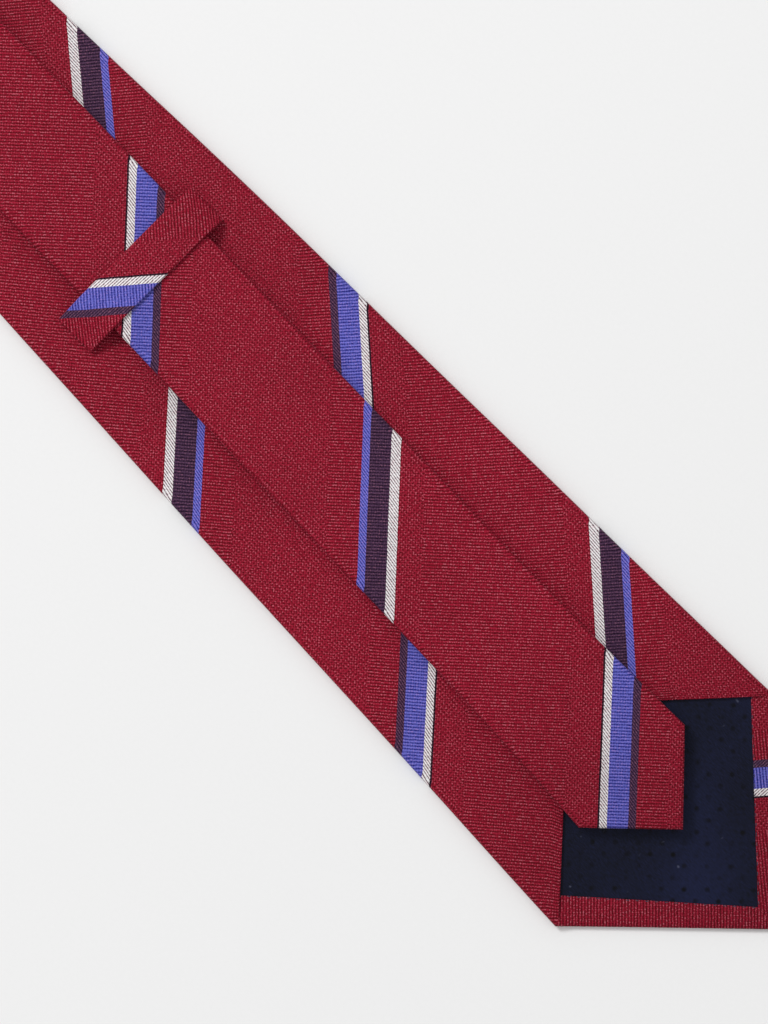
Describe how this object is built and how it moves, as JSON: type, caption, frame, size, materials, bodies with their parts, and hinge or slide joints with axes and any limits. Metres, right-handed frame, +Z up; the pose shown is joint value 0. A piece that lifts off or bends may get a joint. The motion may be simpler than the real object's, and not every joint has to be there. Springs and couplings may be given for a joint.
{
  "type": "necktie",
  "caption": "Necktie folded in half: wide pointed blade, back up, with the narrower pointed tail lying on it and running through a cloth keeper loop.",
  "frame": {"origin": "middle of the folded tie's box, on the surface that it lies on", "axes": "+X along the tie from the neck fold to the blade's point, +Z up from the surface, +Y across the tie"},
  "size_m": [0.76, 0.0856, 0.0078],
  "materials": {
    "striped_silk": "woven silk, crimson with navy, blue and white stripes on the bias, soft sheen",
    "navy_lining": "navy satin lining with small woven dots",
    "interlining": "napped cream wool cloth",
    "red_thread": "twisted silk thread",
    "navy_thread": "twisted sewing thread"
  },
  "bodies": {
    "blade": {"blade_shell": "striped_silk", "blade_interlining": "interlining", "blade_tipping": "navy_lining", "blade_tipping_seam": "navy_thread", "blade_slip_stitch": "red_thread", "blade_bar_tack": "red_thread", "keeper_loop": "striped_silk", "keeper_tack_left": "red_thread", "keeper_tack_right": "red_thread"},
    "tail_middle": {"tail_shell_middle": "striped_silk", "tail_interlining_middle": "interlining", "tail_slip_stitch_middle": "red_thread"},
    "tail_end": {"tail_shell_end": "striped_silk", "tail_interlining_end": "interlining", "tail_tipping": "navy_lining", "tail_tipping_seam": "navy_thread", "tail_slip_stitch_end": "red_thread", "tail_bar_tack": "red_thread"},
    "neck_rise": {"tail_shell_rise": "striped_silk", "tail_interlining_rise": "interlining", "tail_slip_stitch_rise": "red_thread"},
    "neck_crown": {"tail_shell_crown": "striped_silk", "neck_shell_crown": "striped_silk", "tail_interlining_crown": "interlining", "neck_seam_thread": "red_thread", "neck_slip_stitch_crown": "red_thread"},
    "neck_fall": {"neck_shell_fall": "striped_silk", "neck_interlining_fall": "interlining", "neck_slip_stitch_fall": "red_thread"},
    "neck_fold": {"neck_shell_fold": "striped_silk", "neck_interlining_fold": "interlining", "neck_slip_stitch_fold": "red_thread"}
  },
  "joints": [
    {"name": "tail_draw", "type": "slide", "parent": "blade", "child": "tail_middle", "axis": [1, 0, 0], "range_m": [-0.03, 0.02]},
    {"name": "tail_lift", "type": "hinge", "parent": "tail_middle", "child": "tail_end", "pos_m": [0.2, 0, 0.0071], "axis": [0, -1, 0], "range_deg": [0, 55]},
    {"name": "neck_open", "type": "hinge", "parent": "tail_middle", "child": "neck_rise", "pos_m": [0.07, 0, 0.0071], "axis": [0, 1, 0], "range_deg": [0, 25]},
    {"name": "neck_crown_near", "type": "hinge", "parent": "neck_rise", "child": "neck_crown", "pos_m": [-0.05, 0, 0.0044], "axis": [0, 1, 0], "range_deg": [-25, 0]},
    {"name": "neck_crown_far", "type": "hinge", "parent": "neck_crown", "child": "neck_fall", "pos_m": [-0.17, 0, 0.0044], "axis": [0, 1, 0], "range_deg": [-25, 0]},
    {"name": "neck_close", "type": "hinge", "parent": "neck_fall", "child": "neck_fold", "pos_m": [-0.29, 0, 0.0071], "axis": [0, 1, 0], "range_deg": [0, 25]}
  ],
  "couplings": [
    {"joint": "neck_crown_near", "follows": "neck_open", "ratio": -1},
    {"joint": "neck_crown_far", "follows": "neck_open", "ratio": -1},
    {"joint": "neck_close", "follows": "neck_open", "ratio": 1}
  ]
}
